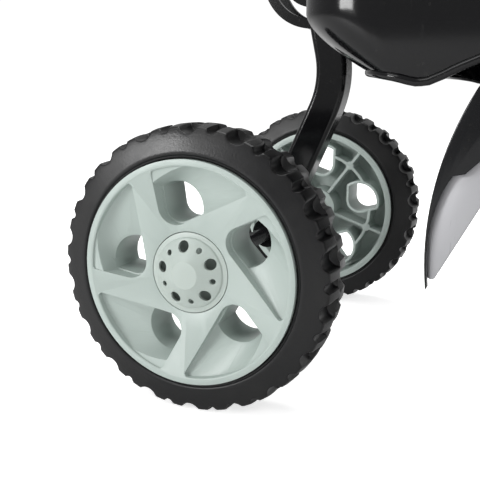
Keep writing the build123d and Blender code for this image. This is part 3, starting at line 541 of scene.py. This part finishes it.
def build_guard():
    """The guard: a box opened below, drawn round, thickened, holed and given a rolled lip."""
    select_nothing()
    bpy.ops.mesh.primitive_cube_add(size=1.0, location=(guard_low + guard_high) / 2)
    guard = bpy.context.object
    guard.name = "tine_guard_shell"
    guard.scale = guard_high - guard_low
    bpy.ops.object.transform_apply(location=True, rotation=True, scale=True)
    bpy.ops.object.mode_set(mode="EDIT")
    bpy.ops.mesh.select_mode(type="FACE")
    bpy.ops.mesh.select_all(action="DESELECT")
    bpy.ops.object.mode_set(mode="OBJECT")
    for face in guard.data.polygons:
        face.select = face.normal.z < -0.5
    bpy.ops.object.mode_set(mode="EDIT")
    bpy.ops.mesh.delete(type="FACE")
    bpy.ops.mesh.select_all(action="SELECT")
    bpy.ops.mesh.subdivide(number_cuts=47)
    bpy.ops.object.mode_set(mode="OBJECT")
    for vertex in guard.data.vertices:
        vertex.co = guard_point(vertex.co)
    select_only(guard)
    bpy.ops.object.mode_set(mode="EDIT")
    bpy.ops.mesh.select_mode(type="EDGE")
    bpy.ops.mesh.select_all(action="DESELECT")
    bpy.ops.mesh.select_non_manifold(
        use_wire=False, use_multi_face=False, use_non_contiguous=False, use_verts=False
    )
    bpy.ops.mesh.duplicate()
    bpy.ops.mesh.separate(type="SELECTED")
    bpy.ops.object.mode_set(mode="OBJECT")
    lip = [piece for piece in bpy.context.selected_objects if piece is not guard][0]
    select_only(lip)
    bpy.ops.object.convert(target="CURVE")
    lip.data.bevel_depth = lip_radius
    lip.data.bevel_resolution = 4
    bpy.ops.object.convert(target="MESH")
    select_only(guard)
    wall = guard.modifiers.new("wall", "SOLIDIFY")
    wall.thickness = guard_wall
    wall.offset = -1.0
    bpy.ops.object.modifier_apply(modifier=wall.name)
    for x, y, radius in guard_holes():
        select_nothing()
        bpy.ops.mesh.primitive_cylinder_add(
            vertices=32, radius=radius * mm, depth=20 * mm, location=(x * mm, y * mm, deck_top)
        )
        drill = bpy.context.object
        select_only(guard)
        hole = guard.modifiers.new("hole", "BOOLEAN")
        hole.object = drill
        hole.operation = "DIFFERENCE"
        bpy.ops.object.modifier_apply(modifier=hole.name)
        bpy.data.objects.remove(drill)
    select_only(lip)
    guard.select_set(True)
    bpy.context.view_layer.objects.active = guard
    bpy.ops.object.join()
    bpy.ops.object.shade_smooth_by_angle(angle=radians(50.0))
    stand_in(guard, "tine_guard")


build_guard()


# ------------------------------------------------------------------ tines, gearbox, rims and caps
# the caps are drawn in a little, which leaves a dark seam round them
cap_shrink = 0.984
for tine_set in ("right_outer", "right_inner", "left_inner", "left_outer"):
    rounded_copy(tine_set + "_tine_arms", 1.9 * mm, segments=3)
    rounded_copy(tine_set + "_tine_paddles", 0.7 * mm)
for name in ("gearbox_right_half", "gearbox_left_half"):
    rounded_copy(name, 0.8 * mm)
for name in ("yoke", "motor_flange"):
    smooth_copy(name)
for side in ("right", "left"):
    rounded_copy(side + "_rim", 0.9 * mm, angle=30.0)
    cap = rounded_copy(side + "_hub_cap", 0.5 * mm, angle=25.0)
    centre = Vector(joints[side + "_wheel_spin"]["pos_m"])
    for vertex in cap.data.vertices:
        vertex.co.x = centre.x + (vertex.co.x - centre.x) * cap_shrink
        vertex.co.z = centre.z + (vertex.co.z - centre.z) * cap_shrink


# ------------------------------------------------------------------ stage, lights and camera
axle_at = Vector(joints["right_wheel_spin"]["pos_m"])
axle_at.y = 0.0
ground_z = axle_at.z - tyre_radius
floor_glow, floor_glow_seen = 0.05, 0.68
room_light, backdrop_seen = 0.5, 1.05


def build_floor():
    """A wide pale floor, which the camera sees brighter than it lights the object."""
    select_nothing()
    bpy.ops.mesh.primitive_plane_add(size=60.0, location=(0, 0, ground_z))
    floor = bpy.context.object
    floor.name = "floor"
    material = bpy.data.materials.new("pale_floor")
    material.use_nodes = True
    tree = material.node_tree
    shader = tree.nodes["Principled BSDF"]
    shader.inputs["Base Color"].default_value = (0.9, 0.9, 0.9, 1.0)
    shader.inputs["Roughness"].default_value = 0.9
    shader.inputs["Emission Color"].default_value = (1.0, 1.0, 1.0, 1.0)
    seen = tree.nodes.new("ShaderNodeLightPath").outputs["Is Camera Ray"]
    glow = add_range(tree, seen, 0.0, 1.0, floor_glow, floor_glow_seen)
    tree.links.new(glow, shader.inputs["Emission Strength"])
    shader.inputs["Specular IOR Level"].default_value = 0.1
    floor.data.materials.append(material)


def softbox(name, place, target, size, power):
    """A rectangular soft light that faces its target."""
    light = bpy.data.lights.new(name, "AREA")
    light.shape = "RECTANGLE"
    light.size, light.size_y = size
    light.energy = power
    lamp = bpy.data.objects.new(name, light)
    lamp.location = place
    direction = Vector(target) - Vector(place)
    lamp.rotation_euler = direction.to_track_quat("-Z", "Y").to_euler()
    bpy.context.scene.collection.objects.link(lamp)


def build_light():
    """A room that the camera sees white and that lights the object more dimly, and four softboxes."""
    world = bpy.data.worlds.new("studio")
    bpy.context.scene.world = world
    world.use_nodes = True
    tree = world.node_tree
    background = tree.nodes["Background"]
    background.inputs["Color"].default_value = (1.0, 1.0, 1.0, 1.0)
    seen = tree.nodes.new("ShaderNodeLightPath").outputs["Is Camera Ray"]
    strength = add_range(tree, seen, 0.0, 1.0, room_light, backdrop_seen)
    tree.links.new(strength, background.inputs["Strength"])
    aim = axle_at
    softbox("key", aim + Vector((-0.7, -1.3, 1.5)), aim, (1.1, 0.8), 10.0)
    softbox("front", aim + Vector((-0.95, -1.45, 0.42)), aim, (0.6, 0.3), 15.0)
    softbox("fill", aim + Vector((1.7, -1.2, 0.6)), aim, (0.9, 1.1), 6.0)
    softbox("top", aim + Vector((0.1, 0.3, 1.9)), aim, (1.5, 1.0), 24.0)


def build_camera():
    """The camera, set from the axle's middle."""
    data = bpy.data.cameras.new("camera")
    data.sensor_width = 36.0
    data.lens = 55.31
    data.clip_start = 0.01
    camera = bpy.data.objects.new("camera", data)
    camera.location = axle_at + Vector((0.2181, -0.6005, 0.1262))
    forward = Vector((-0.377, 0.902, -0.209))
    camera.rotation_euler = forward.to_track_quat("-Z", "Y").to_euler()
    bpy.context.scene.collection.objects.link(camera)
    bpy.context.scene.camera = camera


build_floor()
build_light()
build_camera()
bpy.context.scene.view_settings.view_transform = "Standard"
